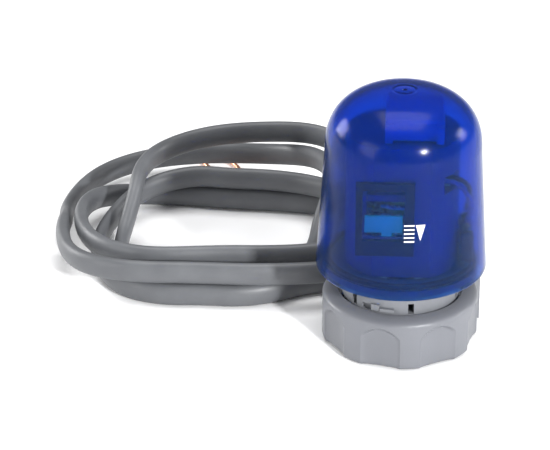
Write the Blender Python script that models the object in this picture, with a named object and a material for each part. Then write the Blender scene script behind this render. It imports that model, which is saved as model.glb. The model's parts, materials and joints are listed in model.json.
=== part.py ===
"""Thermal valve actuator head: a domed translucent cover over a wax-element drive, on an M30 x 1.5 union nut,
with a flat two-core lead. Metres, +Z up. The origin is the centre of the union nut's lower face, the window side
looks along -Y, and the lead leaves at +X +Y."""

import math

import bmesh
import bpy
import numpy as np
from mathutils import Vector

MM = 0.001
GAP = 0.3  # between pieces that touch on the real object

# Driving dimensions, in millimetres
NUT_R = 18.7
NUT_RIM_Z = 13.1
NUT_SHOULDER_Z = 11.4
NUT_MOUTH_R = 14.65
THREAD_R = 14.2  # minor radius of M30 x 1.5
THREAD_TOP_Z = 9.8
FLUTES = 8
FLUTE_DEPTH = 1.1
FLUTE_FADE = 2.5
FLUTE_SPAN = math.radians(30)
FLUTE_START = math.radians(-104)  # middle of the flute left of the front, from +X

COLLAR_R = 14.2
COLLAR_BORE_R = 12.2
SEAT_Z = 10.0
FLANGE_Z = 19.6
FLANGE_TOP_Z = 21.2
FLANGE_R = 18.4
SLOT_COUNT = 6
SLOT_START = -79  # degrees from +X, as the recess and the lugs are
RECESS_ANGLE = -122
LUGS = ((-113, 1.0, 15.0), (-102, 1.7, 14.3))  # angle, half width, top

DOME_Z = 19.3
DOME_R = 20.4
DOME_MIDDLE_Z = 35.0
DOME_SHOULDER_Z = 49.5
DOME_SHOULDER_R = 18.6
DOME_TOP_Z = 64.6
DOME_POWER = 2.5
DOME_WALL = 1.5

HOUSING_R = 13.4
HOUSING_FLAT_Y = -11.6
HOUSING_WALL = 1.2
HOUSING_Z = 21.5
HOUSING_TOP_Z = 54.5
WINDOW_X = (-9.1, 0.6)
WINDOW_Z = (31.6, 44.6)
BEZEL_X = (-10.6, 2.9)
BEZEL_Y = -13.2
BEZEL_Z = (27.8, 46.4)
CAP_TOP_Z = 60.0
BAND_X = (-8.6, 0.2)
BAND_Y = (-10.1, -9.5)
BAND_Z = (32.4, 36.6)

PLUNGER_R = 2.9
PLUNGER_TIP_Z = 10.2
LEG_X = 10.6
YOKE_R = 11.8
YOKE_FLAT_Y = -9.8
SPRING_Z = (25.6, 39.6)
SPRING_R = 8.6
SPRING_WIRE_R = 0.55
SPRING_TURNS = 5
CARRIER_Z = 40.0
ELEMENT_R = 5.0

LEAD_THICKNESS = 3.6
LEAD_WIDTH = 5.8
LEAD_POINTS = 78
OUTLET_X = 9.6
OUTLET_Z = 13.4
OUTLET_FACE = 19.4
OUTLET_CORNER_R = 5.0

# The lead, from the strain relief behind the cover and up onto the coil
LEAD_IN = (
    (9.6, 26.5, 13.3), (10.0, 35.0, 12.3), (9.0, 46.0, 10.5), (5.0, 57.0, 9.5), (-2.0, 67.0, 10.0),
    (-11.0, 75.0, 12.5), (-22.0, 80.0, 15.5),
)
# Where each loose turn passes, from its back by its left end and its front to its right end: the direction that
# the lead runs in there, then x, y, z. A strand rests on the floor at 3, on another at 9, and on two at 15 or 16.
COIL_STATIONS = (
    # the top turn
    ("x", -35, 81, 16), ("y", -68, 58, 14), ("y", -71, 36, 4), ("x", -60, 20, 3), ("x", -42, 20, 3),
    ("y", -22, 34, 6), ("y", -18, 54, 15),
    # the widest turn
    ("x", -52, 90, 5), ("y", -87, 58, 3), ("y", -86, 38, 7), ("x", -64, 12, 9), ("x", -36, 12, 9),
    ("y", -1, 32, 8), ("y", -1, 46, 3),
    # low at the back, on top at the front
    ("x", -36, 66, 3), ("x", -62, 68, 3), ("y", -82, 46, 8), ("x", -62, 20, 9), ("x", -34, 22, 9),
    ("y", -8, 39, 9),
    # the front turn, on the floor
    ("x", -36, 66, 9), ("x", -54, 67, 9), ("y", -77, 38, 3), ("x", -58, 12, 3), ("x", -40, 12, 3),
    ("x", -16, 21, 3), ("y", 11, 44, 3),
    # the free end
    ("x", -20, 72, 3), ("x", -39, 73, 3),
)
STATION_STEPS = 3
# The two stripped cores, from just past the jacket's end
CORE_RADIUS = 0.6
CORE_ROUTES = {
    "lead_core_brown": ((-39.9, 74.2, 2.6), (-41.5, 81.0, 1.2), (-45.3, 91.5, 0.9), (-48.5, 95.5, 0.9)),
    "lead_core_blue": ((-39.9, 72.0, 2.6), (-46.0, 80.0, 1.2), (-53.4, 91.5, 0.9), (-55.0, 94.5, 0.9)),
}


def clear_scene():
    for obj in list(bpy.data.objects):
        bpy.data.objects.remove(obj, do_unlink=True)


def material(name, colour, roughness, metallic=0.0, alpha=1.0):
    made = bpy.data.materials.new(name)
    made.use_nodes = True
    shader = made.node_tree.nodes["Principled BSDF"]
    shader.inputs["Base Color"].default_value = (*colour, 1.0)
    shader.inputs["Roughness"].default_value = roughness
    shader.inputs["Metallic"].default_value = metallic
    shader.inputs["Alpha"].default_value = alpha
    made.diffuse_color = (*colour, alpha)
    return made


def palette():
    return {
        "cover_blue": material("cover_blue", (0.02, 0.05, 0.42), 0.3, alpha=0.6),
        "nut_grey": material("nut_grey", (0.36, 0.37, 0.4), 0.5),
        "base_grey": material("base_grey", (0.55, 0.56, 0.58), 0.5),
        "housing_blue": material("housing_blue", (0.02, 0.07, 0.35), 0.5),
        "bezel_navy": material("bezel_navy", (0.01, 0.02, 0.10), 0.5),
        "indicator_turquoise": material("indicator_turquoise", (0.0, 0.45, 0.5), 0.4),
        "drive_white": material("drive_white", (0.75, 0.75, 0.72), 0.5),
        "lead_grey": material("lead_grey", (0.2, 0.21, 0.23), 0.5),
        "brass": material("brass", (0.65, 0.45, 0.18), 0.3, 1.0),
        "steel": material("steel", (0.6, 0.6, 0.62), 0.3, 1.0),
        "copper": material("copper", (0.7, 0.32, 0.16), 0.35, 1.0),
        "ceramic": material("ceramic", (0.2, 0.19, 0.18), 0.7),
        "seal_black": material("seal_black", (0.02, 0.02, 0.02), 0.7),
        "core_brown": material("core_brown", (0.2, 0.08, 0.03), 0.5),
        "core_blue": material("core_blue", (0.03, 0.12, 0.4), 0.5),
    }


def named(name, bm, look, smooth=True):
    """The bmesh, in millimetres, as an object in metres."""
    bmesh.ops.recalc_face_normals(bm, faces=bm.faces)
    bmesh.ops.scale(bm, vec=(MM, MM, MM), verts=bm.verts)
    mesh = bpy.data.meshes.new(name)
    bm.to_mesh(mesh)
    bm.free()
    mesh.materials.append(look)
    if smooth:
        mesh.shade_smooth()
        mesh.set_sharp_from_angle(angle=math.radians(35))
    obj = bpy.data.objects.new(name, mesh)
    bpy.context.scene.collection.objects.link(obj)
    return obj


def turned(name, profile, look, segments=48, radius_at=None, at=(0.0, 0.0)):
    """A closed profile of (radius, z) turned about a vertical line through at."""
    bm = bmesh.new()
    rings = []
    for step in range(segments):
        angle = 2 * math.pi * step / segments
        ring = []
        for radius, z in profile:
            reach = radius_at(angle, radius, z) if radius_at else radius
            ring.append(bm.verts.new((at[0] + reach * math.cos(angle), at[1] + reach * math.sin(angle), z)))
        rings.append(ring)
    for step in range(segments):
        ring, following = rings[step], rings[(step + 1) % segments]
        for index in range(len(profile)):
            nxt = (index + 1) % len(profile)
            bm.faces.new((ring[index], following[index], following[nxt], ring[nxt]))
    bmesh.ops.remove_doubles(bm, verts=bm.verts, dist=1e-5)
    return named(name, bm, look)


def prism(name, outline, bottom, top, look, smooth=False):
    """A flat outline of (x, y) extruded from bottom to top."""
    bm = bmesh.new()
    floor = [bm.verts.new((x, y, bottom)) for x, y in outline]
    face = bm.faces.new(floor)
    raised = bmesh.ops.extrude_face_region(bm, geom=[face])["geom"]
    lifted = [item for item in raised if isinstance(item, bmesh.types.BMVert)]
    bmesh.ops.translate(bm, vec=(0, 0, top - bottom), verts=lifted)
    return named(name, bm, look, smooth)


def block(name, low, high, look, bevel=0.0):
    """A box between two corners, with its edges rounded off."""
    bm = bmesh.new()
    bmesh.ops.create_cube(bm, size=1.0)
    size = [b - a for a, b in zip(low, high)]
    middle = [(a + b) / 2 for a, b in zip(low, high)]
    bmesh.ops.scale(bm, vec=size, verts=bm.verts)
    bmesh.ops.translate(bm, vec=middle, verts=bm.verts)
    if bevel:
        bmesh.ops.bevel(bm, geom=bm.edges, offset=bevel, segments=1, affect="EDGES")
    return named(name, bm, look, smooth=False)


def combine(target, others, operation):
    """Applies one Boolean with each of the others and drops them."""
    for index, other in enumerate(others):
        step = target.modifiers.new(f"{operation.lower()}_{index}", "BOOLEAN")
        step.operation = operation
        step.solver = "EXACT"
        step.object = other
    graph = bpy.context.evaluated_depsgraph_get()
    result = bpy.data.meshes.new_from_object(target.evaluated_get(graph))
    target.modifiers.clear()
    target.data = result
    for other in others:
        bpy.data.objects.remove(other, do_unlink=True)
    return target


def wire(name, points, radius, look, resolution=2):
    """A round wire or lead through points, in millimetres."""
    curve = bpy.data.curves.new(name, "CURVE")
    curve.dimensions = "3D"
    curve.bevel_depth = radius * MM
    curve.bevel_resolution = resolution
    curve.use_fill_caps = True
    spline = curve.splines.new("POLY")
    spline.points.add(len(points) - 1)
    for target, point in zip(spline.points, points):
        target.co = (*(Vector(point) * MM), 1.0)
    curve.materials.append(look)
    obj = bpy.data.objects.new(name, curve)
    bpy.context.scene.collection.objects.link(obj)
    return obj


def smooth_route(points, count):
    """count points evenly spaced along the natural cubic spline through points."""
    knots = np.array(points, float)
    spans = np.linalg.norm(np.diff(knots, axis=0), axis=1) ** 0.5
    at = np.concatenate([[0], np.cumsum(spans)])
    size = len(knots)
    system = np.eye(size)
    rest = np.zeros((size, 3))
    for i in range(1, size - 1):
        before, after = spans[i - 1], spans[i]
        system[i, i - 1 : i + 2] = before, 2 * (before + after), after
        rest[i] = 6 * ((knots[i + 1] - knots[i]) / after - (knots[i] - knots[i - 1]) / before)
    bend = np.linalg.solve(system, rest)
    fine = np.linspace(0, at[-1], 40 * size)
    left = np.clip(np.searchsorted(at, fine, side="right") - 1, 0, size - 2)
    span = spans[left][:, None]
    u = (fine - at[left])[:, None]
    v = span - u
    curve = (bend[left] * v**3 + bend[left + 1] * u**3) / (6 * span)
    curve += (knots[left] / span - bend[left] * span / 6) * v
    curve += (knots[left + 1] / span - bend[left + 1] * span / 6) * u
    run = np.concatenate([[0], np.cumsum(np.linalg.norm(np.diff(curve, axis=0), axis=1))])
    even = np.linspace(0, run[-1], count)
    return [tuple(np.interp(s, run, curve[:, axis]) for axis in range(3)) for s in even]


def between(start, end):
    """The points from one station up to the next: a quarter of an ellipse, or a run that keeps its heading."""
    heading, *here = start
    arriving, *there = end
    points = []
    for step in range(STATION_STEPS):
        share = step / STATION_STEPS
        turn = math.pi / 2 * share
        ease = (1 - math.cos(2 * turn)) / 2
        if heading == arriving:
            shares = (share, ease, ease) if heading == "x" else (ease, share, ease)
        else:
            early, late = math.sin(turn), 1 - math.cos(turn)
            shares = (early, late, ease) if heading == "x" else (late, early, ease)
        points.append(tuple(a + (b - a) * part for a, b, part in zip(here, there, shares)))
    return points


def lead_route():
    points = list(LEAD_IN)
    for start, end in zip(COIL_STATIONS, COIL_STATIONS[1:]):
        points += between(start, end)
    return [*points, COIL_STATIONS[-1][1:]]


def d_outline(radius, flat_y, steps=40):
    """A circle cut off by a flat at flat_y, seen from above."""
    start = math.asin(flat_y / radius)
    sweep = math.pi - 2 * start
    return [
        (radius * math.cos(start + sweep * i / steps), radius * math.sin(start + sweep * i / steps))
        for i in range(steps + 1)
    ]


def dome_radius(z, inset=0.0):
    """Outer radius of the cover, less an even inset: a slight draft, then a rounded top."""
    if z <= DOME_SHOULDER_Z:
        share = (z - DOME_Z) / (DOME_SHOULDER_Z - DOME_Z)
        return DOME_R + (DOME_SHOULDER_R - DOME_R) * share - inset
    rise = min(1.0, (z - DOME_SHOULDER_Z) / (DOME_TOP_Z - inset - DOME_SHOULDER_Z))
    return (DOME_SHOULDER_R - inset) * (1 - rise**DOME_POWER) ** (1 / DOME_POWER)


def dome_side(inset, bottom, steps=12):
    """Profile points of the cover from its rim to the axis."""
    top = DOME_TOP_Z - inset
    side = [(dome_radius(bottom, inset), bottom), (dome_radius(DOME_MIDDLE_Z, inset), DOME_MIDDLE_Z)]
    for step in range(steps + 1):
        turn = math.pi / 2 * step / steps
        z = DOME_SHOULDER_Z + (top - DOME_SHOULDER_Z) * math.sin(turn) ** (2 / DOME_POWER)
        side.append(((DOME_SHOULDER_R - inset) * math.cos(turn) ** (2 / DOME_POWER), z))
    side[-1] = (0.0, top)
    return side


def make_cover(look):
    outer = dome_side(0.0, DOME_Z + 0.8)
    inner = dome_side(DOME_WALL, DOME_Z)
    rim = [(DOME_R - 0.25, DOME_Z + 0.2), (DOME_R - 0.8, DOME_Z)]
    turned("dome_cover", outer + inner[::-1] + rim[::-1], look["cover_blue"], segments=56)


def flute(angle, radius, z):
    """Grip flutes: shallow scallops that run out under the nut's shoulder."""
    if radius < NUT_MOUTH_R + 1.5:
        return radius
    pitch = 2 * math.pi / FLUTES
    away = abs((angle - FLUTE_START + pitch / 2) % pitch - pitch / 2)
    across = max(0.0, 1 - (2 * away / FLUTE_SPAN) ** 2)
    fade = min(1.0, max(0.0, (NUT_SHOULDER_Z - z) / FLUTE_FADE))
    return radius - FLUTE_DEPTH * across * fade


def make_nut(look):
    profile = [
        (THREAD_R + 0.6, 0.0), (NUT_R - 0.9, 0.0), (NUT_R - 0.2, 0.5), (NUT_R, 1.6), (NUT_R, 5.0), (NUT_R, 8.9),
        (NUT_R, 10.4), (NUT_R - 0.2, NUT_SHOULDER_Z), (NUT_R - 1.2, 12.3), (NUT_R - 2.6, 12.9),
        (NUT_MOUTH_R + 0.4, NUT_RIM_Z), (NUT_MOUTH_R, NUT_RIM_Z - 0.4),
        (NUT_MOUTH_R, 12.3), (NUT_MOUTH_R + 1.0, 12.2), (NUT_MOUTH_R + 1.0, 10.5), (NUT_MOUTH_R, 10.4),
        (NUT_MOUTH_R, THREAD_TOP_Z), (THREAD_R, THREAD_TOP_Z - 0.4), (THREAD_R, 0.6),
    ]
    turned("union_nut", profile, look["nut_grey"], segments=96, radius_at=flute)
    ring = [(13.85, 10.85), (15.3, 10.85), (15.3, 11.85), (13.85, 11.85)]
    turned("nut_snap_ring", ring, look["steel"])


def make_base(look):
    groove = (COLLAR_R - 0.7, 10.6, 12.1)
    profile = [
        (6.9, SEAT_Z), (COLLAR_R - 0.4, SEAT_Z), (COLLAR_R - 0.2, 10.3), (COLLAR_R - 0.2, groove[1]),
        (groove[0], groove[1]), (groove[0], groove[2]), (COLLAR_R - 0.2, groove[2]), (COLLAR_R, 12.4),
        (COLLAR_R, FLANGE_Z), (FLANGE_R, FLANGE_Z), (FLANGE_R, FLANGE_TOP_Z),
        (COLLAR_BORE_R, FLANGE_TOP_Z), (COLLAR_BORE_R, 12.6), (6.9, 12.6),
    ]
    base = turned("base_carrier", profile, look["base_grey"], segments=48)
    cutters = []
    for index in range(SLOT_COUNT):
        angle = math.radians(SLOT_START + 360 / SLOT_COUNT * index)
        cutter = block("slot", (11.0, -0.7, 12.9), (15.5, 0.7, 15.5), look["base_grey"])
        cutter.rotation_euler.z = angle
        cutters.append(cutter)
    lead_hole = block("lead_hole", (8.8, 8.8, 18.0), (12.6, 12.6, 22.0), look["base_grey"])
    cutters.append(lead_hole)
    recess = block("recess", (13.4, -1.6, 12.9), (15.5, 1.6, 14.4), look["base_grey"])
    recess.rotation_euler.z = math.radians(RECESS_ANGLE)
    cutters.append(recess)
    lugs = []
    for angle, half, top in LUGS:
        lug = block("lug", (13.2, -half, NUT_RIM_Z + 0.4), (15.0, half, top), look["base_grey"])
        lug.rotation_euler.z = math.radians(angle)
        lugs.append(lug)
    bpy.context.view_layer.update()
    combine(base, cutters, "DIFFERENCE")
    combine(base, lugs, "UNION")
    seal = [(16.9, 21.5), (18.0, 21.5), (18.0, 22.5), (16.9, 22.5)]
    turned("cover_seal", seal, look["seal_black"])
    bush = [(PLUNGER_R + GAP, SEAT_Z + 0.4), (6.6, SEAT_Z + 0.4), (6.6, 12.9), (8.2, 12.9), (8.2, 14.1),
            (5.4, 14.1), (5.4, 17.0), (PLUNGER_R + GAP, 17.0)]
    turned("plunger_guide", bush, look["drive_white"], segments=32)
    ring = [(PLUNGER_R + GAP, 17.3), (5.2, 17.3), (5.2, 18.8), (PLUNGER_R + GAP, 18.8)]
    turned("plunger_seal", ring, look["seal_black"], segments=32)


def make_outlet(look):
    """The corner block that hugs the nut and carries the lead out at the back right."""
    inner_r = NUT_R + 0.6
    first, last = math.radians(22), math.radians(68)
    arc_steps, corner_steps = 10, 6
    arc = []
    for step in range(arc_steps + 1):
        turn = first + (last - first) * step / arc_steps
        arc.append((inner_r * math.cos(turn), inner_r * math.sin(turn)))
    corner = OUTLET_FACE - OUTLET_CORNER_R
    rounded = []
    for step in range(corner_steps + 1):
        turn = math.pi / 2 * step / corner_steps
        rounded.append((corner + OUTLET_CORNER_R * math.cos(turn), corner + OUTLET_CORNER_R * math.sin(turn)))
    outline = [(OUTLET_FACE, 7.9), *rounded, (7.9, OUTLET_FACE), *arc[::-1]]
    top = DOME_Z - 0.4
    body = prism("cable_outlet", outline, 0.7, top, look["base_grey"])
    arm = block("arm", (14.7, -5.5, NUT_RIM_Z + 0.5), (21.0, 5.5, top), look["base_grey"])
    arm.rotation_euler.z = math.pi / 4
    wire_room = block("wire_room", (8.6, 8.0, NUT_RIM_Z + 1.7), (12.6, 18.4, top + 1), look["base_grey"])
    bpy.context.view_layer.update()
    combine(body, [arm], "UNION")
    half = LEAD_THICKNESS / 2 + 0.5
    tall = LEAD_WIDTH / 2 + 0.5
    channel = block("channel", (OUTLET_X - half, 14.0, OUTLET_Z - tall), (OUTLET_X + half, 21.0, OUTLET_Z + tall),
                    look["base_grey"])
    combine(body, [channel, wire_room], "DIFFERENCE")
    bm = bmesh.new()
    rings = []
    sides = 16
    for y, grow in ((OUTLET_FACE + GAP, 1.7), (22.0, 1.6), (26.0, 0.7)):
        ring = []
        for step in range(sides):
            turn = 2 * math.pi * step / sides
            x = OUTLET_X + (LEAD_THICKNESS / 2 + grow) * math.cos(turn)
            z = OUTLET_Z + (LEAD_WIDTH / 2 + grow) * math.sin(turn)
            ring.append(bm.verts.new((x, y, z)))
        rings.append(ring)
    for ring, following in zip(rings, rings[1:]):
        for step in range(sides):
            nxt = (step + 1) % sides
            bm.faces.new((ring[step], ring[nxt], following[nxt], following[step]))
    bm.faces.new(rings[0])
    bm.faces.new(rings[-1])
    named("strain_relief", bm, look["lead_grey"])


def make_housing(look):
    outer = d_outline(HOUSING_R, HOUSING_FLAT_Y)
    inner = d_outline(HOUSING_R - HOUSING_WALL, HOUSING_FLAT_Y + HOUSING_WALL)
    body = prism("inner_housing", outer, HOUSING_Z, HOUSING_TOP_Z, look["housing_blue"])
    cavity = prism("cavity", inner, HOUSING_Z - 1, HOUSING_TOP_Z - 1.5, look["housing_blue"])
    (left, right), (sill, head) = WINDOW_X, WINDOW_Z
    window = block("window", (left, -14.0, sill), (right, -9.0, head), look["housing_blue"])
    wire_way = block("wire_way", (7.4, -9.3, 42.2), (15.0, -2.8, 46.6), look["housing_blue"])
    combine(body, [cavity, window, wire_way], "DIFFERENCE")

    low = (BEZEL_X[0], BEZEL_Y, BEZEL_Z[0])
    high = (BEZEL_X[1], HOUSING_FLAT_Y - GAP, BEZEL_Z[1])
    bezel = block("indicator_bezel", low, high, look["bezel_navy"])
    opening = block("opening", (left, -15.0, sill), (right, -11.0, head), look["bezel_navy"])
    combine(bezel, [opening], "DIFFERENCE")

    bottom = HOUSING_TOP_Z + GAP
    cap = block("housing_cap", (-4.2, -8.0, bottom), (9.4, 8.0, CAP_TOP_Z), look["housing_blue"], bevel=0.6)
    ribs = [
        block(f"rib_{index}", (x - 0.9, -8.9, bottom), (x + 0.9, 8.9, CAP_TOP_Z - 0.8), look["housing_blue"])
        for index, x in enumerate((-3.4, 8.4))
    ]
    combine(cap, ribs, "UNION")


def make_drive(look):
    """The pieces that lift together: bridge, legs and lower plate, with the plunger and the indicator band."""
    reach = d_outline(YOKE_R, YOKE_FLAT_Y)
    yoke = prism("lift_yoke", reach, 46.9, 48.4, look["drive_white"])
    plate = prism("plate", reach, 23.7, 25.2, look["drive_white"])
    hole = turned("hole", [(0.0, 23.0), (7.6, 23.0), (7.6, 26.0), (0.0, 26.0)], look["drive_white"], segments=32)
    combine(plate, [hole], "DIFFERENCE")
    legs = [
        block(f"leg_{index}", (x - 0.6, -2.5, 24.5), (x + 0.6, 2.5, 48.0), look["drive_white"])
        for index, x in enumerate((-LEG_X, LEG_X))
    ]
    combine(yoke, [plate, *legs], "UNION")

    plunger = [(0.0, 12.2), (PLUNGER_R, 12.2), (PLUNGER_R, 22.0), (9.6, 22.0), (9.6, 23.4), (0.0, 23.4)]
    turned("plunger", plunger, look["drive_white"], segments=32)
    foot = [(0.0, PLUNGER_TIP_Z), (2.4, PLUNGER_TIP_Z), (2.7, PLUNGER_TIP_Z + 0.3), (2.7, 11.9), (0.0, 11.9)]
    turned("pressure_foot", foot, look["steel"], segments=32)
    piston = [(0.0, 43.7), (1.5, 43.7), (1.5, 46.6), (0.0, 46.6)]
    turned("element_piston", piston, look["steel"], segments=24)
    washer = [(7.9, 25.5), (9.2, 25.5), (9.2, 26.0), (7.9, 26.0)]
    turned("spring_washer", washer, look["steel"], segments=32)
    (left, right), (front, back), (low, high) = BAND_X, BAND_Y, BAND_Z
    band = block("position_indicator", (left, front, low), (right, back, high), look["indicator_turquoise"])
    stem = block("stem", (-4.7, front, 25.5), (-2.3, back, low + 0.6), look["indicator_turquoise"])
    combine(band, [stem], "UNION")


def make_element(look):
    carrier = prism("element_carrier", d_outline(11.9, -9.0), CARRIER_Z, CARRIER_Z + 1.6, look["housing_blue"])
    seat = [(0.0, 39.0), (5.3, 39.0), (5.3, 43.0), (0.0, 43.0)]
    cuts = [turned("seat", seat, look["housing_blue"], segments=32)]
    for name, near, far, half in (("leg_notch", 9.7, 13.0, 3.1), ("contact_slot", 6.2, 7.4, 1.6)):
        for side in (-1, 1):
            left, right = sorted((side * near, side * far))
            cuts.append(block(name, (left, -half, 39.0), (right, half, 43.0), look["housing_blue"]))
    combine(carrier, cuts, "DIFFERENCE")
    element = [
        (0.0, 30.2), (ELEMENT_R, 30.2), (ELEMENT_R, 41.9), (6.2, 41.9), (6.2, 43.0), (2.6, 43.4), (0.0, 43.4),
    ]
    turned("wax_element", element, look["brass"], segments=32)
    turned("ptc_heater", [(0.0, 28.6), (4.4, 28.6), (4.4, 29.9), (0.0, 29.9)], look["ceramic"], segments=24)

    lower = block("heater_contact_lower", (-3.0, -1.2, 28.0), (7.0, 1.2, 28.3), look["brass"])
    riser = block("riser", (6.6, -1.2, 28.1), (7.0, 1.2, 43.5), look["brass"])
    combine(lower, [riser], "UNION")
    upper = block("heater_contact_upper", (-7.0, -1.2, 31.0), (-6.6, 1.2, 43.5), look["brass"])
    tab = block("tab", (-6.8, -1.2, 31.0), (-5.3, 1.2, 31.4), look["brass"])
    combine(upper, [tab], "UNION")

    turns = 14 * SPRING_TURNS
    low, high = SPRING_Z[0] + 0.4 + SPRING_WIRE_R + GAP, SPRING_Z[1] - SPRING_WIRE_R - 0.2
    helix = []
    for step in range(turns + 1):
        turn = 2 * math.pi * SPRING_TURNS * step / turns
        height = low + (high - low) * step / turns
        helix.append((SPRING_R * math.cos(turn), SPRING_R * math.sin(turn), height))
    wire("return_spring", helix, SPRING_WIRE_R, look["steel"], resolution=1)


def make_terminals(look):
    block("terminal_block", (13.8, -6.0, 22.9), (16.7, 6.0, 30.2), look["bezel_navy"], bevel=0.3)
    for index, y in enumerate((-3.2, 3.2)):
        screw = [(0.0, 30.5), (1.1, 30.5), (1.1, 31.3), (0.8, 31.6), (0.0, 31.6)]
        turned(f"terminal_screw_{index + 1}", screw, look["brass"], segments=16, at=(15.3, y))
    wires = {
        "heater_wire_brown": ("core_brown", (
            (6.8, -0.4, 44.5), (8.0, -3.6, 44.8), (11.4, -5.0, 44.9), (14.4, -4.4, 43.4), (15.8, -1.5, 39.5),
            (15.8, 1.8, 35.0), (15.3, 3.2, 32.6),
        )),
        "heater_wire_blue": ("core_blue", (
            (-6.8, -0.4, 44.5), (-5.6, -5.0, 44.8), (-1.0, -7.6, 45.0), (5.0, -8.0, 45.0), (11.0, -7.3, 44.9),
            (14.2, -7.0, 42.6), (15.8, -5.4, 38.0), (15.8, -3.8, 34.6), (15.3, -3.2, 32.6),
        )),
        "supply_wire_brown": ("core_brown", (
            (9.0, 18.2, 14.2), (9.4, 15.4, 16.4), (9.9, 12.4, 18.4), (10.1, 11.5, 20.4), (10.6, 11.2, 23.0),
            (12.8, 9.2, 26.4), (14.6, 7.4, 27.0), (15.0, 6.7, 27.0),
        )),
        "supply_wire_blue": ("core_blue", (
            (10.6, 17.6, 14.6), (11.2, 14.8, 16.2), (11.5, 12.0, 18.2), (11.6, 10.4, 20.4), (12.2, 9.9, 22.8),
            (14.2, 8.4, 24.4), (15.4, 7.4, 24.6), (15.8, 6.7, 24.6),
        )),
    }
    for name, (slot, points) in wires.items():
        wire(name, smooth_route(points, 14), CORE_RADIUS, look[slot], resolution=1)


def make_lead(look):
    wire("lead", smooth_route(lead_route(), LEAD_POINTS), LEAD_THICKNESS / 2, look["lead_grey"])
    for name, points in CORE_ROUTES.items():
        wire(name, smooth_route(points, 10), CORE_RADIUS, look["copper"])


def main():
    clear_scene()
    look = palette()
    make_cover(look)
    make_nut(look)
    make_base(look)
    make_outlet(look)
    make_housing(look)
    make_drive(look)
    make_element(look)
    make_terminals(look)
    make_lead(look)


main()
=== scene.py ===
"""Looks of the thermal valve actuator head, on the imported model. Metres, +Z up, the window side along -Y."""

import json
import math

import bmesh
import bpy
import numpy as np
from mathutils import Matrix, Vector


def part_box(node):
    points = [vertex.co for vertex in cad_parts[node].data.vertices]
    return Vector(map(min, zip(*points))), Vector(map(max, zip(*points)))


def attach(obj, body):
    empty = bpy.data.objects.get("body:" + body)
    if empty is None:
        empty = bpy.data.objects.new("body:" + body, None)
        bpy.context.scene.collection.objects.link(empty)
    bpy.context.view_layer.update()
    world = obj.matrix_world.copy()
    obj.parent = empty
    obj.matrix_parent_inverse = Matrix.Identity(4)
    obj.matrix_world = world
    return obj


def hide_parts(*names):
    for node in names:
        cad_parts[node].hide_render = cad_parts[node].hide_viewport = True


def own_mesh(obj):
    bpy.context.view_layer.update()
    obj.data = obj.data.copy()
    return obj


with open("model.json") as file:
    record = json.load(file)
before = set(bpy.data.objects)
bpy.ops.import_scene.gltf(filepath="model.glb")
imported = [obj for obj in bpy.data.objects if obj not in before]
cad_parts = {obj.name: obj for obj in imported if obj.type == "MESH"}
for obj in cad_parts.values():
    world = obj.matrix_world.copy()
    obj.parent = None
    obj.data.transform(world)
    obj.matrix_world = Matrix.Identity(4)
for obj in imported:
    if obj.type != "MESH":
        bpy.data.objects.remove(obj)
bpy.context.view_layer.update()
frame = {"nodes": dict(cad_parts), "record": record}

# The lead, as the CAD routes it: where it leaves the strain relief, then where each loose turn passes
LEAD_THICKNESS = 0.0036
LEAD_WIDTH = 0.0058
LEAD_IN = (
    (0.0096, 0.0265, 0.0133), (0.0100, 0.0350, 0.0123), (0.0090, 0.0460, 0.0105), (0.0050, 0.0570, 0.0095),
    (-0.0020, 0.0670, 0.0100), (-0.0110, 0.0750, 0.0125), (-0.0220, 0.0800, 0.0155),
)
COIL_STATIONS = (
    # the top turn
    ("x", -0.035, 0.081, 0.016), ("y", -0.068, 0.058, 0.014), ("y", -0.071, 0.036, 0.004),
    ("x", -0.060, 0.020, 0.003), ("x", -0.042, 0.020, 0.003), ("y", -0.022, 0.034, 0.006),
    ("y", -0.018, 0.054, 0.015),
    # the widest turn
    ("x", -0.052, 0.090, 0.005), ("y", -0.087, 0.058, 0.003), ("y", -0.086, 0.038, 0.007),
    ("x", -0.064, 0.012, 0.009), ("x", -0.036, 0.012, 0.009), ("y", -0.001, 0.032, 0.008),
    ("y", -0.001, 0.046, 0.003),
    # low at the back, on top at the front
    ("x", -0.036, 0.066, 0.003), ("x", -0.062, 0.068, 0.003), ("y", -0.082, 0.046, 0.008),
    ("x", -0.062, 0.020, 0.009), ("x", -0.034, 0.022, 0.009), ("y", -0.008, 0.039, 0.009),
    # the front turn, on the floor
    ("x", -0.036, 0.066, 0.009), ("x", -0.054, 0.067, 0.009), ("y", -0.077, 0.038, 0.003),
    ("x", -0.058, 0.012, 0.003), ("x", -0.040, 0.012, 0.003), ("x", -0.016, 0.021, 0.003),
    ("y", 0.011, 0.044, 0.003),
    # the free end
    ("x", -0.020, 0.072, 0.003), ("x", -0.039, 0.073, 0.003),
)
STATION_STEPS = 3
FLOOR_GAP = 0.00003  # least height of the lead's underside
# The stripped cores, from inside the jacket's end
CORE_ROUTES = {
    "lead_core_brown": (
        (-0.0392, 0.0738, 0.0030), (-0.0415, 0.0810, 0.0012), (-0.0453, 0.0915, 0.0009),
        (-0.0485, 0.0955, 0.0009),
    ),
    "lead_core_blue": (
        (-0.0392, 0.0722, 0.0030), (-0.0460, 0.0800, 0.0012), (-0.0534, 0.0915, 0.0009),
        (-0.0550, 0.0945, 0.0009),
    ),
}

COVER_RIM_R = 0.0204
COVER_RIM_Z = 0.0193
COVER_SHOULDER_R = 0.0186
COVER_SHOULDER_Z = 0.0495
COVER_POWER = 2.5  # of the superellipse that rounds the top
COVER_WALL = 0.0015
COVER_EDGE_R = 0.0008

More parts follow.
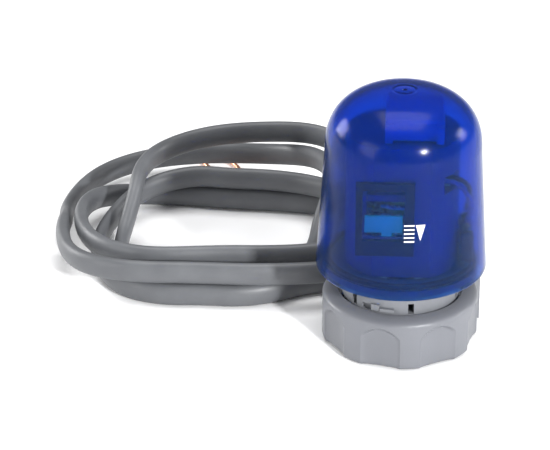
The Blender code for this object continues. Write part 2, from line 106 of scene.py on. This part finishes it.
NUT_R = 0.0187
NUT_FLUTES = 8
FLUTE_START = math.radians(-104)  # middle of the flute left of the front, from +X
FLUTE_HALF = math.radians(15)
FLUTE_DEPTH = 0.0011
FLUTE_STEEPNESS = 0.7  # below 1 it makes the flutes' edges crisp
ARCH_GAP = 0.0009  # from the nut's shoulder down to the top of a flute's arch
ARCH_FALL = 0.0026
ARCH_EDGE = 0.0008
THREAD_PITCH = 0.0015
THREAD_RIDGES = 6

SPRING_WIRE_R = 0.00055
SPRING_TURNS = 5


# Camera

def make_camera():
    data = bpy.data.cameras.new("camera")
    data.lens = 192.6  # millimetres, as the sensor's width is
    data.sensor_width = 36
    data.clip_start = 0.01
    camera = bpy.data.objects.new("camera", data)
    bpy.context.scene.collection.objects.link(camera)
    camera.location = (0.0, -0.6286, 0.3410)
    aim = Vector((-0.0302, 0.0, 0.0286)) - camera.location
    roll = Matrix.Rotation(math.radians(0.14), 3, "Z")
    camera.rotation_euler = (aim.to_track_quat("-Z", "Y").to_matrix() @ roll).to_euler()
    bpy.context.scene.camera = camera


# Materials

def new_material(name):
    made = bpy.data.materials.new(name)
    made.use_nodes = True
    return made, made.node_tree, made.node_tree.nodes["Principled BSDF"]


def noise(tree, scale, detail=3.0):
    where = tree.nodes.new("ShaderNodeTexCoord")
    texture = tree.nodes.new("ShaderNodeTexNoise")
    texture.inputs["Scale"].default_value = scale
    texture.inputs["Detail"].default_value = detail
    tree.links.new(where.outputs["Object"], texture.inputs["Vector"])
    return texture.outputs["Fac"]


def ramp(tree, source, low, high):
    """Two colours mixed by a noise."""
    node = tree.nodes.new("ShaderNodeValToRGB")
    # closer together than 0 and 1, which the noise seldom reaches
    node.color_ramp.elements[0].position = 0.35
    node.color_ramp.elements[1].position = 0.65
    node.color_ramp.elements[0].color = (*low, 1)
    node.color_ramp.elements[1].color = (*high, 1)
    tree.links.new(source, node.inputs["Fac"])
    return node.outputs["Color"]


def spread(tree, source, low, high):
    node = tree.nodes.new("ShaderNodeMapRange")
    node.inputs["To Min"].default_value = low
    node.inputs["To Max"].default_value = high
    tree.links.new(source, node.inputs["Value"])
    return node.outputs["Result"]


def bump(tree, shader, source, depth):
    node = tree.nodes.new("ShaderNodeBump")
    node.inputs["Distance"].default_value = depth
    node.inputs["Strength"].default_value = 1.0
    tree.links.new(source, node.inputs["Height"])
    tree.links.new(node.outputs["Normal"], shader.inputs["Normal"])


def moulded(name, colour, roughness, grain=0.00003, vary=0.06):
    """Moulded plastic: a fine grain, a slow drift in colour and uneven gloss."""
    made, tree, shader = new_material(name)
    low = tuple(c * (1 - vary) for c in colour)
    high = tuple(min(1.0, c * (1 + vary)) for c in colour)
    tree.links.new(ramp(tree, noise(tree, 60.0), low, high), shader.inputs["Base Color"])
    gloss = spread(tree, noise(tree, 220.0), roughness - 0.05, roughness + 0.07)
    tree.links.new(gloss, shader.inputs["Roughness"])
    bump(tree, shader, noise(tree, 2500.0, 4.0), grain)
    return made


def metal(name, colour, roughness):
    """Turned or drawn metal with faint tool marks."""
    made, tree, shader = new_material(name)
    shader.inputs["Metallic"].default_value = 1.0
    low = tuple(c * 0.85 for c in colour)
    tree.links.new(ramp(tree, noise(tree, 300.0), low, colour), shader.inputs["Base Color"])
    gloss = spread(tree, noise(tree, 900.0), roughness - 0.08, roughness + 0.1)
    tree.links.new(gloss, shader.inputs["Roughness"])
    bump(tree, shader, noise(tree, 4000.0, 2.0), 0.00001)
    return made


def cover_plastic():
    """Translucent blue plastic with dye in its wall. The low IOR keeps the floor's mirror image faint."""
    made, tree, shader = new_material("cover_blue_plastic")
    colour = ramp(tree, noise(tree, 40.0), (0.070, 0.320, 0.88), (0.085, 0.360, 0.92))
    tree.links.new(colour, shader.inputs["Base Color"])
    shader.inputs["Transmission Weight"].default_value = 0.97
    shader.inputs["IOR"].default_value = 1.2
    tree.links.new(spread(tree, noise(tree, 180.0), 0.13, 0.20), shader.inputs["Roughness"])
    bump(tree, shader, noise(tree, 900.0), 0.000012)
    dye = tree.nodes.new("ShaderNodeVolumeAbsorption")
    dye.inputs["Color"].default_value = (0.05, 0.45, 0.76, 1)
    dye.inputs["Density"].default_value = 800.0
    tree.links.new(dye.outputs["Volume"], tree.nodes["Material Output"].inputs["Volume"])
    return made


def indicator_plastic_painted_glow():
    """Turquoise plastic with painted light: a weak emission makes the indicator glow bright behind the blue
    cover, though it is no lamp.
    """
    made = moulded("indicator_plastic_painted_glow", (0.25, 0.95, 0.55), 0.4)
    shader = made.node_tree.nodes["Principled BSDF"]
    # painted light: emission on a part that is no lamp
    shader.inputs["Emission Color"].default_value = (0.02, 0.80, 0.40, 1)
    shader.inputs["Emission Strength"].default_value = 0.6
    return made


def lead_jacket():
    """Grey PVC with a fine drawn grain and slight handling marks."""
    made, tree, shader = new_material("lead_pvc")
    colour = ramp(tree, noise(tree, 90.0), (0.086, 0.090, 0.098), (0.108, 0.113, 0.122))
    tree.links.new(colour, shader.inputs["Base Color"])
    tree.links.new(spread(tree, noise(tree, 350.0), 0.38, 0.52), shader.inputs["Roughness"])
    bump(tree, shader, noise(tree, 1800.0, 4.0), 0.00003)
    return made


def palette():
    return {
        "cover_blue": cover_plastic(),
        "nut_grey": moulded("nut_plastic", (0.143, 0.149, 0.166), 0.42),
        "base_grey": moulded("base_plastic", (0.165, 0.172, 0.188), 0.45),
        "housing_blue": moulded("housing_plastic", (0.014, 0.075, 0.30), 0.45),
        # painted light: the housing cap gets a brighter copy of the housing's blue
        "cap_painted_light_blue": moulded("cap_plastic_painted_light", (0.02, 0.36, 0.80), 0.45),
        "bezel_navy": moulded("bezel_plastic", (0.006, 0.008, 0.030), 0.5),
        "indicator_turquoise": indicator_plastic_painted_glow(),
        "drive_white": moulded("drive_plastic", (0.72, 0.72, 0.69), 0.5),
        "lead_grey": lead_jacket(),
        "brass": metal("turned_brass", (0.80, 0.58, 0.26), 0.28),
        "steel": metal("bright_steel", (0.66, 0.66, 0.68), 0.26),
        "copper": metal("bare_copper", (0.86, 0.42, 0.26), 0.32),
        "ceramic": moulded("heater_ceramic", (0.22, 0.20, 0.19), 0.75, grain=0.00006),
        "seal_black": moulded("seal_rubber", (0.025, 0.025, 0.027), 0.7),
        "core_brown": moulded("wire_brown_pvc", (0.16, 0.07, 0.03), 0.45),
        "core_blue": moulded("wire_blue_pvc", (0.03, 0.12, 0.42), 0.45),
        "print_white": moulded("print_ink", (0.80, 0.81, 0.84), 0.5, grain=0.000006),
        "floor": moulded("pale_floor", (0.96, 0.96, 0.965), 0.7, grain=0.000002, vary=0.01),
    }


# Mesh helpers

def add(name, vertices, faces, look, smooth=True, sharp=40):
    mesh = bpy.data.meshes.new(name)
    mesh.from_pydata([tuple(map(float, v)) for v in vertices], [], faces)
    mesh.materials.append(look)
    bm = bmesh.new()
    bm.from_mesh(mesh)
    bmesh.ops.remove_doubles(bm, verts=bm.verts, dist=1e-7)
    bmesh.ops.recalc_face_normals(bm, faces=bm.faces)
    bm.to_mesh(mesh)
    bm.free()
    if smooth:
        mesh.shade_smooth()
        mesh.set_sharp_from_angle(angle=math.radians(sharp))
    obj = bpy.data.objects.new(name, mesh)
    bpy.context.scene.collection.objects.link(obj)
    return obj


def lathe(name, profile, look, segments=160, radius_at=None, start=0.0, sharp=40):
    """A closed profile of (radius, z) turned about +Z from the start angle, which radius_at counts from."""
    vertices, faces = [], []
    count = len(profile)
    for step in range(segments):
        angle = 2 * math.pi * step / segments
        for radius, z in profile:
            reach = radius_at(angle, radius, z) if radius_at else radius
            vertices.append((reach * math.cos(start + angle), reach * math.sin(start + angle), z))
    for step in range(segments):
        here, there = step * count, (step + 1) % segments * count
        for index in range(count):
            nxt = (index + 1) % count
            faces.append((here + index, there + index, there + nxt, here + nxt))
    return add(name, vertices, faces, look, sharp=sharp)


def spline(points, spacing):
    """Points about spacing apart along the natural cubic spline through points."""
    knots = np.array(points, float)
    spans = np.linalg.norm(np.diff(knots, axis=0), axis=1) ** 0.5
    at = np.concatenate([[0], np.cumsum(spans)])
    size = len(knots)
    system = np.eye(size)
    rest = np.zeros((size, 3))
    for i in range(1, size - 1):
        before, after = spans[i - 1], spans[i]
        system[i, i - 1 : i + 2] = before, 2 * (before + after), after
        rest[i] = 6 * ((knots[i + 1] - knots[i]) / after - (knots[i] - knots[i - 1]) / before)
    bend = np.linalg.solve(system, rest)
    fine = np.linspace(0, at[-1], 60 * size)
    left = np.clip(np.searchsorted(at, fine, side="right") - 1, 0, size - 2)
    span = spans[left][:, None]
    u = (fine - at[left])[:, None]
    v = span - u
    curve = (bend[left] * v**3 + bend[left + 1] * u**3) / (6 * span)
    curve += (knots[left] / span - bend[left] * span / 6) * v
    curve += (knots[left + 1] / span - bend[left + 1] * span / 6) * u
    run = np.concatenate([[0], np.cumsum(np.linalg.norm(np.diff(curve, axis=0), axis=1))])
    even = np.linspace(0, run[-1], max(2, round(run[-1] / spacing)))
    return np.stack([np.interp(even, run, curve[:, axis]) for axis in range(3)], 1), float(run[-1])


def sweep(name, line, section, look):
    """A section, a function of the distance along giving (side, up) offsets, swept upright along line."""
    tangents = np.gradient(line, axis=0)
    tangents /= np.linalg.norm(tangents, axis=1)[:, None]
    sides = np.cross(tangents, (0.0, 0.0, 1.0))
    sides /= np.linalg.norm(sides, axis=1)[:, None]
    ups = np.cross(sides, tangents)
    run = np.concatenate([[0], np.cumsum(np.linalg.norm(np.diff(line, axis=0), axis=1))])
    vertices, faces = [], []
    count = len(section(0.0))
    for point, side, up, distance in zip(line, sides, ups, run):
        vertices += [point + side * across + up * high for across, high in section(distance)]
    for ring in range(len(line) - 1):
        for index in range(count):
            nxt = (index + 1) % count
            here, there = ring * count, (ring + 1) * count
            faces.append((here + index, here + nxt, there + nxt, there + index))
    faces.append(tuple(range(count)))
    faces.append(tuple(range((len(line) - 1) * count, len(line) * count)))
    return add(name, vertices, faces, look)


# The lead

def between(start, end):
    """Points from one station up to the next: a quarter of an ellipse, or a run that keeps its heading."""
    heading, *here = start
    arriving, *there = end
    points = []
    for step in range(STATION_STEPS):
        share = step / STATION_STEPS
        turn = math.pi / 2 * share
        ease = (1 - math.cos(2 * turn)) / 2
        if heading == arriving:
            shares = (share, ease, ease) if heading == "x" else (ease, share, ease)
        else:
            early, late = math.sin(turn), 1 - math.cos(turn)
            shares = (early, late, ease) if heading == "x" else (late, early, ease)
        points.append(tuple(a + (b - a) * part for a, b, part in zip(here, there, shares)))
    return points


def lead_route():
    points = list(LEAD_IN)
    for start, end in zip(COIL_STATIONS, COIL_STATIONS[1:]):
        points += between(start, end)
    return [*points, COIL_STATIONS[-1][1:]]


def oval(_distance):
    """The flat lead's section, a little squarer than an ellipse, and the same all along."""
    steps, power = 28, 2.1
    points = []
    for step in range(steps):
        turn = 2 * math.pi * step / steps
        across = math.copysign(abs(math.cos(turn)) ** (2 / power), math.cos(turn))
        high = math.copysign(abs(math.sin(turn)) ** (2 / power), math.sin(turn))
        points.append((LEAD_THICKNESS / 2 * across, LEAD_WIDTH / 2 * high))
    return points


def strands(distance):
    """A stranded core's section, which turns once in every lay length."""
    steps, radius, lobes, lay = 28, 0.0006, 7, 0.009
    points = []
    for step in range(steps):
        turn = 2 * math.pi * step / steps
        twist = turn + 2 * math.pi * distance / lay
        reach = radius * (0.90 + 0.10 * abs(math.cos(lobes / 2 * twist)))
        points.append((reach * math.cos(turn), reach * math.sin(turn)))
    return points


def make_lead(look):
    line, length = spline(lead_route(), 0.0012)
    line[:, 2] = np.maximum(line[:, 2], LEAD_WIDTH / 2 + FLOOR_GAP)
    jacket = sweep("lead_jacket", line, oval, look["lead_grey"])
    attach(jacket, "head")
    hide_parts("lead")
    for node, points in CORE_ROUTES.items():
        core_line, _ = spline(points, 0.0005)
        core = sweep(f"{node}_strands", core_line, strands, look["copper"])
        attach(core, "head")
        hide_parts(node)


# The cover

def cover_side(top, bottom, inset):
    """The cover's profile from its rim up to the axis, set in by an even inset."""
    straight_steps, round_steps = 6, 40
    points = []
    for step in range(straight_steps + 1):
        z = bottom + (COVER_SHOULDER_Z - bottom) * step / straight_steps
        radius = COVER_RIM_R + (COVER_SHOULDER_R - COVER_RIM_R) * step / straight_steps
        points.append((radius - inset, z))
    for step in range(1, round_steps + 1):
        turn = math.pi / 2 * step / round_steps
        z = COVER_SHOULDER_Z + (top - inset - COVER_SHOULDER_Z) * math.sin(turn) ** (2 / COVER_POWER)
        radius = (COVER_SHOULDER_R - inset) * max(0.0, math.cos(turn)) ** (2 / COVER_POWER)
        points.append((radius, z))
    points[-1] = (0.0, top - inset)
    return points


def make_cover(look):
    low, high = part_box("dome_cover")
    bottom, top = low[2], high[2]
    edge_steps = 6
    edge = []
    for step in range(1, edge_steps):
        turn = math.pi / 2 * step / edge_steps
        radius = COVER_RIM_R - COVER_EDGE_R + COVER_EDGE_R * math.cos(turn)
        edge.append((radius, bottom + COVER_EDGE_R - COVER_EDGE_R * math.sin(turn)))
    outer = cover_side(top, bottom, 0.0)
    outer[0] = (COVER_RIM_R, bottom + COVER_EDGE_R)
    # the moulding gate at the middle, a shallow ring round a pit, as (radius, depth)
    gate = (
        (0.0029, 0.00002), (0.0027, 0.00014), (0.0024, 0.00014), (0.0022, 0.00001),
        (0.0006, 0.0), (0.0004, 0.0003), (0.0, 0.0004),
    )
    outer = [point for point in outer if point[0] > 0.0032]
    outer += [(radius, top - depth) for radius, depth in gate]
    inner = cover_side(top, bottom, COVER_WALL)
    cover = lathe("cover_shell", outer + inner[::-1] + edge[::-1], look["cover_blue"])
    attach(cover, "head")
    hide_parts("dome_cover")


# The nut

def make_nut(look):
    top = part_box("union_nut")[1][2]
    shoulder = top - 0.0017
    inside = 0.0162  # only the outer wall has flutes
    pitch = 2 * math.pi / NUT_FLUTES

    def flute(angle, reach, z):
        if reach < inside:
            return reach
        away = abs((angle + pitch / 2) % pitch - pitch / 2) / FLUTE_HALF
        if away >= 1:
            return reach
        # the arch's height falls towards the flute's edges
        arch = shoulder - ARCH_GAP - ARCH_FALL * away**2
        rise = min(1.0, max(0.0, (arch - z) / ARCH_EDGE + 0.5))
        return reach - FLUTE_DEPTH * (1 - away**2) ** FLUTE_STEEPNESS * rise * rise * (3 - 2 * rise)

    round_r = 0.0013
    round_steps, wall_steps, shoulder_steps = 6, 26, 10
    profile = [(0.0148, 0.0), (0.0174, 0.0)]
    for step in range(1, round_steps + 1):
        turn = math.pi / 2 * step / round_steps
        profile.append((NUT_R - round_r + round_r * math.sin(turn), round_r - round_r * math.cos(turn)))
    for step in range(1, wall_steps + 1):
        profile.append((NUT_R, round_r + (shoulder - round_r) * step / wall_steps))
    for step in range(1, shoulder_steps + 1):
        turn = math.pi / 2 * step / shoulder_steps
        profile.append((NUT_R - 0.0034 * (1 - math.cos(turn)), shoulder + (top - shoulder) * math.sin(turn)))
    # the mouth, and the snap ring's groove inside it
    profile += [
        (0.01505, top), (0.0147, top - 0.0004), (0.0147, 0.0123), (0.01565, 0.0122), (0.01565, 0.0105),
        (0.0147, 0.0104), (0.0147, 0.0098),
    ]
    for ridge in range(THREAD_RIDGES):
        z = 0.0092 - THREAD_PITCH * ridge
        profile += [(0.0142, z), (0.0142, z - 0.0003), (0.0149, z - 0.00075), (0.0149, z - 0.0010)]
    nut = lathe("nut_body", profile, look["nut_grey"], segments=384, radius_at=flute,
                start=FLUTE_START, sharp=20)
    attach(nut, "nut")
    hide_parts("union_nut")


# The print on the cover

def make_print(look):
    """Five short bars and a small triangle that points down, printed on the front of the cover."""
    ink = 0.00005
    clear = 0.00004

    def on_cover(x, z):
        share = (z - COVER_RIM_Z) / (COVER_SHOULDER_Z - COVER_RIM_Z)
        reach = COVER_RIM_R - (COVER_RIM_R - COVER_SHOULDER_R) * share + clear
        return (x, -math.sqrt(reach * reach - x * x), z)

    left, right = 0.0006, 0.0030
    lowest, spacing, thick = 0.0345, 0.0010, 0.00035
    marks = []
    for index in range(5):
        z = lowest + spacing * index
        marks.append([(left, z), (right, z), (right, z + thick), (left, z + thick)])
    marks.append([(0.0044, 0.0348), (0.0055, 0.0388), (0.0033, 0.0388)])
    vertices, faces = [], []
    for mark in marks:
        first = len(vertices)
        vertices += [on_cover(x, z) for x, z in mark]
        faces.append(tuple(range(first, first + len(mark))))
    mesh = bpy.data.meshes.new("cover_marks")
    mesh.from_pydata(vertices, [], faces)
    mesh.materials.append(look["print_white"])
    marks_object = bpy.data.objects.new("cover_marks", mesh)
    bpy.context.scene.collection.objects.link(marks_object)
    skin = marks_object.modifiers.new("thickness", "SOLIDIFY")
    skin.thickness = ink
    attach(marks_object, "head")


# Spring and CAD nodes

def make_spring(look):
    low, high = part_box("return_spring")
    radius = high[0] - SPRING_WIRE_R
    height = high[2] - low[2]
    steps = 32  # in each turn
    points = []
    for step in range(SPRING_TURNS * steps + 1):
        turn = 2 * math.pi * step / steps
        z = low[2] + SPRING_WIRE_R + (height - 2 * SPRING_WIRE_R) * step / (SPRING_TURNS * steps)
        points.append((radius * math.cos(turn), radius * math.sin(turn), z))
    curve = bpy.data.curves.new("spring_coil", "CURVE")
    curve.dimensions = "3D"
    curve.bevel_depth = SPRING_WIRE_R
    curve.bevel_resolution = 4
    curve.use_fill_caps = True
    line = curve.splines.new("POLY")
    line.points.add(len(points) - 1)
    for target, point in zip(line.points, points):
        target.co = (*point, 1.0)
    curve.materials.append(look["steel"])
    coil = bpy.data.objects.new("spring_coil", curve)
    bpy.context.scene.collection.objects.link(coil)
    bpy.context.view_layer.update()
    mesh = bpy.data.meshes.new_from_object(coil.evaluated_get(bpy.context.evaluated_depsgraph_get()))
    bpy.data.objects.remove(coil, do_unlink=True)
    spring = bpy.data.objects.new("spring_wire", mesh)
    bpy.context.scene.collection.objects.link(spring)
    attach(spring, "head")
    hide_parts("return_spring")
    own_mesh(spring)


def dress_nodes(look):
    """Every CAD node that stays gets its slot's finished material, and the cap a brighter copy of the
    housing's blue as painted light.
    """
    slots = {entry["node"]: entry["material_slot"] for entry in frame["record"]["subparts"]}
    for node, obj in frame["nodes"].items():
        for slot in obj.material_slots:
            # the cap's brighter blue is painted light
            slot.material = look["cap_painted_light_blue" if node == "housing_cap" else slots[node]]


# Studio

def make_studio(look):
    corners = [(-3, -3, 0), (3, -3, 0), (3, 3, 0), (-3, 3, 0)]
    floor = add("floor", corners, [(0, 1, 2, 3)], look["floor"], smooth=False)
    floor.location.z = -0.0001
    world = bpy.data.worlds.new("studio")
    world.use_nodes = True
    world.node_tree.nodes["Background"].inputs["Color"].default_value = (1, 1, 1, 1)
    world.node_tree.nodes["Background"].inputs["Strength"].default_value = 0.28
    bpy.context.scene.world = world
    bpy.context.scene.view_settings.view_transform = "Standard"
    # each light points at the head's middle; the flash is the key light
    middle = Vector((0, 0, 0.03))
    for name, place, size, power in (
        ("flash", (0.40, -0.66, 0.33), 0.06, 9.0),
        ("left", (-0.72, 0.30, 0.24), 0.30, 4.0),
        ("right", (0.77, 0.17, 0.30), 0.22, 2.5),
        ("front", (-1.00, -0.75, 0.38), 0.60, 5.5),
        ("top", (0.00, 0.10, 1.20), 0.90, 12.0),
    ):
        data = bpy.data.lights.new(name, "AREA")
        data.size = size
        data.energy = power
        light = bpy.data.objects.new(name, data)
        light.location = place
        light.rotation_euler = (middle - Vector(place)).to_track_quat("-Z", "Y").to_euler()
        bpy.context.scene.collection.objects.link(light)


# Everything

def main():
    make_camera()
    look = palette()
    make_lead(look)
    dress_nodes(look)
    make_cover(look)
    make_nut(look)
    make_print(look)
    make_spring(look)
    make_studio(look)


main()
